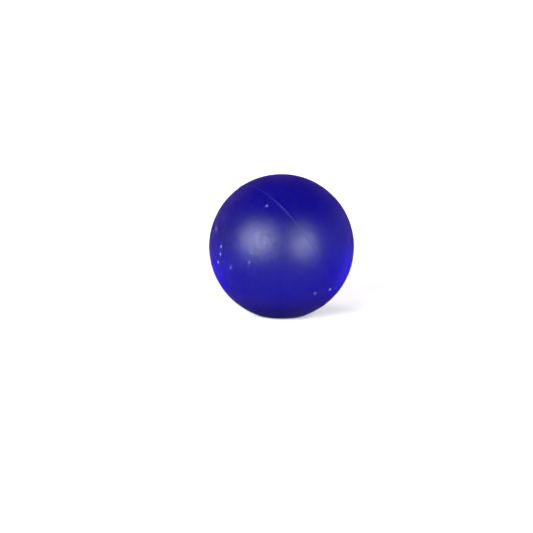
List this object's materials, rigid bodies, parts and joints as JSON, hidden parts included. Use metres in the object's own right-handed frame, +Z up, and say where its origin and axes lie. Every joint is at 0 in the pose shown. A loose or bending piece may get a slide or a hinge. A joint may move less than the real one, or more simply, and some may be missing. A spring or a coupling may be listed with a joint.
{
  "type": "stress ball",
  "caption": "Soft translucent blue squeeze ball: a moulded rubber skin with a fine parting line, filled with gel through a glued, stoppered port at the back.",
  "frame": {"origin": "centre of the flat patch that the settled ball rests on, straight below the ball's centre", "axes": "+Z up through the ball's centre, +X to the right and +Y away from the side that shows the parting line in front"},
  "size_m": [0.0636, 0.0636, 0.0617],
  "materials": {
    "skin_rubber": "translucent deep blue TPR, satin moulded surface with a little dust",
    "gel": "clear deep blue soft gel",
    "stopper_rubber": "matt deep blue TPR",
    "clear_glue": "clear cured adhesive over blue, glossy"
  },
  "bodies": {
    "ball": {"outer_skin": "skin_rubber", "gel_core": "gel"},
    "closure": {"fill_stopper": "stopper_rubber", "glue_ring": "clear_glue"}
  },
  "joints": [
    {"name": "squeeze", "type": "slide", "parent": "ball", "child": "closure", "axis": [0.4871, -0.8733, 0], "range_m": [0, 0.0115], "stiffness_N_per_m": 900, "deforming": ["outer_skin", "gel_core"]}
  ]
}
